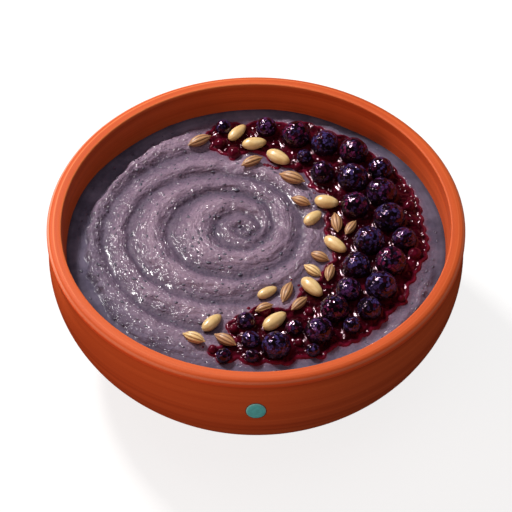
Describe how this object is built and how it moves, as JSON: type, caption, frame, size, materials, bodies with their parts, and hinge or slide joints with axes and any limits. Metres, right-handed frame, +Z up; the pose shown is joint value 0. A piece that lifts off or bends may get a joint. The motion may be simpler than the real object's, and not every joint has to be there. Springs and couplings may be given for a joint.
{
  "type": "bowl of blue corn mush",
  "caption": "Round red earthenware bowl filled with swirled blue corn mush, topped with a crescent of dark berries in compote, pine nuts and ribbed seeds.",
  "frame": {"origin": "centre of the bowl's foot, on the surface it stands on", "axes": "+Z up along the bowl's axis of turning; -Y to the front, where the painted dot is; the compote's crescent lies on the +X side"},
  "size_m": [0.1708, 0.1711, 0.068],
  "materials": {
    "earthenware": "unglazed red clay, turned, satin",
    "corn_mush": "thick moist porridge with dark specks and wet glints",
    "berry_compote": "wet glossy jam",
    "berry_skin": "glossy, mottled dark skin",
    "pine_nut": "smooth, slightly oily"
  },
  "bodies": {
    "root": {"bowl": "earthenware", "mush": "corn_mush", "compote": "berry_compote", "berry_01": "berry_skin", "berry_02": "berry_skin", "berry_03": "berry_skin", "berry_04": "berry_skin", "berry_05": "berry_skin", "berry_06": "berry_skin", "berry_07": "berry_skin", "berry_08": "berry_skin", "berry_09": "berry_skin", "berry_10": "berry_skin", "berry_11": "berry_skin", "berry_12": "berry_skin", "berry_13": "berry_skin", "berry_14": "berry_skin", "berry_15": "berry_skin", "berry_16": "berry_skin", "berry_17": "berry_skin", "berry_18": "berry_skin", "berry_19": "berry_skin", "berry_20": "berry_skin", "berry_21": "berry_skin", "berry_22": "berry_skin", "berry_23": "berry_skin", "berry_24": "berry_skin", "berry_25": "berry_skin", "berry_26": "berry_skin", "berry_27": "berry_skin", "berry_28": "berry_skin", "berry_29": "berry_skin", "pine_nut_01": "pine_nut", "pine_nut_02": "pine_nut", "pine_nut_03": "pine_nut", "pine_nut_04": "pine_nut", "pine_nut_05": "pine_nut", "pine_nut_06": "pine_nut", "pine_nut_07": "pine_nut", "pine_nut_08": "pine_nut", "pine_nut_09": "pine_nut", "pine_nut_10": "pine_nut"}
  },
  "joints": []
}
